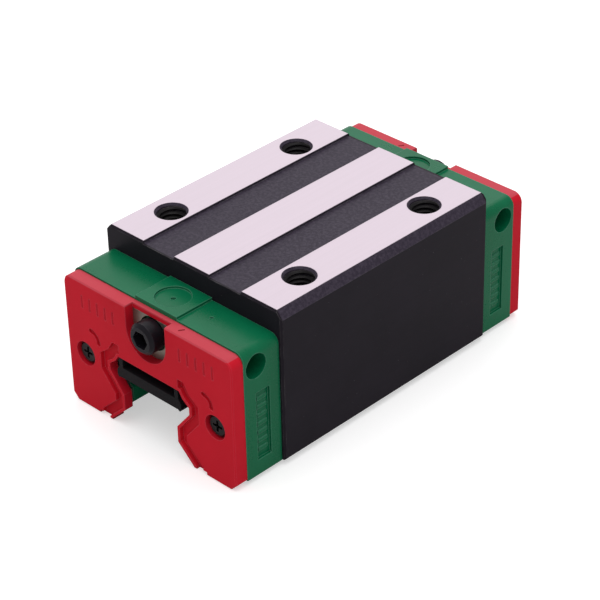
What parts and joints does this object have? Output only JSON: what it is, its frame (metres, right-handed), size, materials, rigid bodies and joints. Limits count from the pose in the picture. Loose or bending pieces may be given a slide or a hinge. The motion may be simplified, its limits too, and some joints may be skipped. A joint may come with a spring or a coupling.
{
  "type": "linear guide carriage",
  "caption": "Square recirculating ball carriage for a profile rail, with tapped top face, plastic end caps, rubber end seals and grease ports.",
  "frame": {"origin": "centre of the four tapped holes, in the plane of the ground top face", "axes": "+Z out of the top mounting face, +Y along the direction of travel, +X across the rail"},
  "size_m": [0.048, 0.0852, 0.0347],
  "materials": {
    "block_steel": "black-oxide steel, with the top strips ground bright",
    "ball_steel": "polished bearing steel",
    "cap_plastic": "moulded green plastic",
    "seal_rubber": "moulded red rubber",
    "plate_steel": "stamped steel sheet",
    "screw_steel": "black zinc",
    "plug_steel": "black oxide",
    "bottom_seal_rubber": "moulded black rubber",
    "guide_plastic": "natural acetal",
    "retainer_plastic": "moulded black plastic"
  },
  "bodies": {
    "carriage": {"carriage_block": "block_steel", "front_end_cap": "cap_plastic", "front_end_seal": "seal_rubber", "front_grease_plug": "plug_steel", "front_seal_plate": "plate_steel", "front_seal_screws": "screw_steel", "left_bottom_seal": "bottom_seal_rubber", "left_lower_ball_retainer": "retainer_plastic", "left_side_ball_retainer": "retainer_plastic", "lower_left_front_turn_guide": "guide_plastic", "lower_left_rear_turn_guide": "guide_plastic", "lower_left_return_tube": "guide_plastic", "lower_right_front_turn_guide": "guide_plastic", "lower_right_rear_turn_guide": "guide_plastic", "lower_right_return_tube": "guide_plastic", "rear_end_cap": "cap_plastic", "rear_end_seal": "seal_rubber", "rear_grease_plug": "plug_steel", "rear_seal_plate": "plate_steel", "rear_seal_screws": "screw_steel", "right_bottom_seal": "bottom_seal_rubber", "right_lower_ball_retainer": "retainer_plastic", "right_side_ball_retainer": "retainer_plastic", "top_ball_retainer": "retainer_plastic", "upper_left_front_turn_guide": "guide_plastic", "upper_left_rear_turn_guide": "guide_plastic", "upper_left_return_tube": "guide_plastic", "upper_right_front_turn_guide": "guide_plastic", "upper_right_rear_turn_guide": "guide_plastic", "upper_right_return_tube": "guide_plastic"},
    "insert": {"transport_insert": "retainer_plastic"},
    "upper_left_load_row": {"upper_left_load_balls": "ball_steel"},
    "upper_left_return_row": {"upper_left_return_balls": "ball_steel"},
    "upper_left_front_turn": {"upper_left_front_turn_balls": "ball_steel"},
    "upper_left_rear_turn": {"upper_left_rear_turn_balls": "ball_steel"},
    "upper_right_load_row": {"upper_right_load_balls": "ball_steel"},
    "upper_right_return_row": {"upper_right_return_balls": "ball_steel"},
    "upper_right_front_turn": {"upper_right_front_turn_balls": "ball_steel"},
    "upper_right_rear_turn": {"upper_right_rear_turn_balls": "ball_steel"},
    "lower_left_load_row": {"lower_left_load_balls": "ball_steel"},
    "lower_left_return_row": {"lower_left_return_balls": "ball_steel"},
    "lower_left_front_turn": {"lower_left_front_turn_balls": "ball_steel"},
    "lower_left_rear_turn": {"lower_left_rear_turn_balls": "ball_steel"},
    "lower_right_load_row": {"lower_right_load_balls": "ball_steel"},
    "lower_right_return_row": {"lower_right_return_balls": "ball_steel"},
    "lower_right_front_turn": {"lower_right_front_turn_balls": "ball_steel"},
    "lower_right_rear_turn": {"lower_right_rear_turn_balls": "ball_steel"}
  },
  "joints": [
    {"name": "insert_push_out", "type": "slide", "parent": "carriage", "child": "insert", "axis": [0, 1, 0], "range_m": [0, 0.084]},
    {"name": "upper_left_load_run", "type": "slide", "parent": "carriage", "child": "upper_left_load_row", "axis": [0, 1, 0], "range_m": [-0.0024, 0.0024]},
    {"name": "upper_left_return_run", "type": "slide", "parent": "carriage", "child": "upper_left_return_row", "axis": [0, 1, 0], "range_m": [-0.0024, 0.0024]},
    {"name": "upper_left_front_turn_run", "type": "hinge", "parent": "carriage", "child": "upper_left_front_turn", "pos_m": [-0.0147, -0.029, -0.01565], "axis": [0.65, 0, 0.76], "range_deg": [-27.6, 27.6]},
    {"name": "upper_left_rear_turn_run", "type": "hinge", "parent": "carriage", "child": "upper_left_rear_turn", "pos_m": [-0.0147, 0.029, -0.01565], "axis": [0.65, 0, 0.76], "range_deg": [-27.6, 27.6]},
    {"name": "upper_right_load_run", "type": "slide", "parent": "carriage", "child": "upper_right_load_row", "axis": [0, 1, 0], "range_m": [-0.0024, 0.0024]},
    {"name": "upper_right_return_run", "type": "slide", "parent": "carriage", "child": "upper_right_return_row", "axis": [0, 1, 0], "range_m": [-0.0024, 0.0024]},
    {"name": "upper_right_front_turn_run", "type": "hinge", "parent": "carriage", "child": "upper_right_front_turn", "pos_m": [0.0147, -0.029, -0.01565], "axis": [0.65, 0, -0.76], "range_deg": [-27.6, 27.6]},
    {"name": "upper_right_rear_turn_run", "type": "hinge", "parent": "carriage", "child": "upper_right_rear_turn", "pos_m": [0.0147, 0.029, -0.01565], "axis": [0.65, 0, -0.76], "range_deg": [-27.6, 27.6]},
    {"name": "lower_left_load_run", "type": "slide", "parent": "carriage", "child": "lower_left_load_row", "axis": [0, 1, 0], "range_m": [-0.0024, 0.0024]},
    {"name": "lower_left_return_run", "type": "slide", "parent": "carriage", "child": "lower_left_return_row", "axis": [0, 1, 0], "range_m": [-0.0024, 0.0024]},
    {"name": "lower_left_front_turn_run", "type": "hinge", "parent": "carriage", "child": "lower_left_front_turn", "pos_m": [-0.0155, -0.029, -0.02735], "axis": [-0.3903, 0, 0.9207], "range_deg": [-27.6, 27.6]},
    {"name": "lower_left_rear_turn_run", "type": "hinge", "parent": "carriage", "child": "lower_left_rear_turn", "pos_m": [-0.0155, 0.029, -0.02735], "axis": [-0.3903, 0, 0.9207], "range_deg": [-27.6, 27.6]},
    {"name": "lower_right_load_run", "type": "slide", "parent": "carriage", "child": "lower_right_load_row", "axis": [0, 1, 0], "range_m": [-0.0024, 0.0024]},
    {"name": "lower_right_return_run", "type": "slide", "parent": "carriage", "child": "lower_right_return_row", "axis": [0, 1, 0], "range_m": [-0.0024, 0.0024]},
    {"name": "lower_right_front_turn_run", "type": "hinge", "parent": "carriage", "child": "lower_right_front_turn", "pos_m": [0.0155, -0.029, -0.02735], "axis": [-0.3903, 0, -0.9207], "range_deg": [-27.6, 27.6]},
    {"name": "lower_right_rear_turn_run", "type": "hinge", "parent": "carriage", "child": "lower_right_rear_turn", "pos_m": [0.0155, 0.029, -0.02735], "axis": [-0.3903, 0, -0.9207], "range_deg": [-27.6, 27.6]}
  ],
  "couplings": [
    {"joint": "upper_left_return_run", "follows": "upper_left_load_run", "ratio": -1},
    {"joint": "upper_left_front_turn_run", "follows": "upper_left_load_run", "rad_per_m": 200},
    {"joint": "upper_left_rear_turn_run", "follows": "upper_left_load_run", "rad_per_m": 200},
    {"joint": "upper_right_return_run", "follows": "upper_right_load_run", "ratio": -1},
    {"joint": "upper_right_front_turn_run", "follows": "upper_right_load_run", "rad_per_m": 200},
    {"joint": "upper_right_rear_turn_run", "follows": "upper_right_load_run", "rad_per_m": 200},
    {"joint": "lower_left_return_run", "follows": "lower_left_load_run", "ratio": -1},
    {"joint": "lower_left_front_turn_run", "follows": "lower_left_load_run", "rad_per_m": 200},
    {"joint": "lower_left_rear_turn_run", "follows": "lower_left_load_run", "rad_per_m": 200},
    {"joint": "lower_right_return_run", "follows": "lower_right_load_run", "ratio": -1},
    {"joint": "lower_right_front_turn_run", "follows": "lower_right_load_run", "rad_per_m": 200},
    {"joint": "lower_right_rear_turn_run", "follows": "lower_right_load_run", "rad_per_m": 200}
  ]
}
